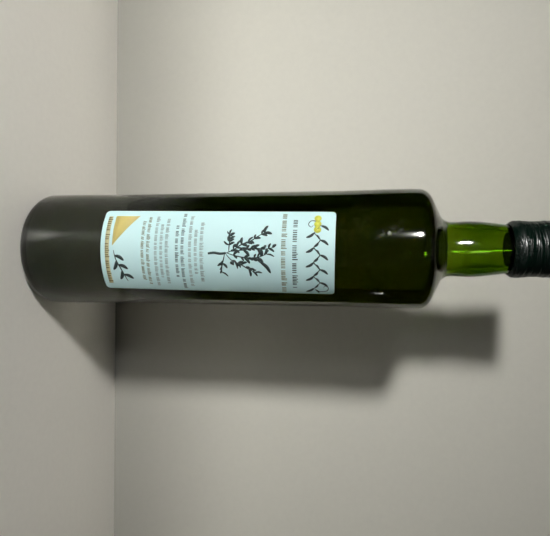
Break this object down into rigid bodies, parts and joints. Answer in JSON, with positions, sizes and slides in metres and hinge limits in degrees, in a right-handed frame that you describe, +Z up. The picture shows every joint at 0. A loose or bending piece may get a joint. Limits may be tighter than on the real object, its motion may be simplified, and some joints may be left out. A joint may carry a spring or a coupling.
{
  "type": "olive oil bottle",
  "caption": "Full upright glass bottle of olive oil: straight cylindrical body, short sloping shoulder, narrow neck, rolled-on metal screw cap with tamper band, and a tall paper front label.",
  "frame": {"origin": "centre of the base at the level the bottle stands on", "axes": "+Z up along the bottle's axis; the front label faces -Y, its middle about 5 degrees towards +X"},
  "size_m": [0.0716, 0.0716, 0.3176],
  "materials": {
    "green_glass": "glossy, deep olive green, see-through where empty",
    "olive_oil": "clear yellow-green liquid",
    "cap_metal": "semi-gloss very dark green lacquer",
    "label_paper": "smooth satin, pale mint blue, printed in dark, gold and ochre"
  },
  "bodies": {
    "root": {"bottle_glass": "green_glass", "oil": "olive_oil", "cap": "cap_metal", "tamper_band": "cap_metal", "front_label": "label_paper"}
  },
  "joints": []
}
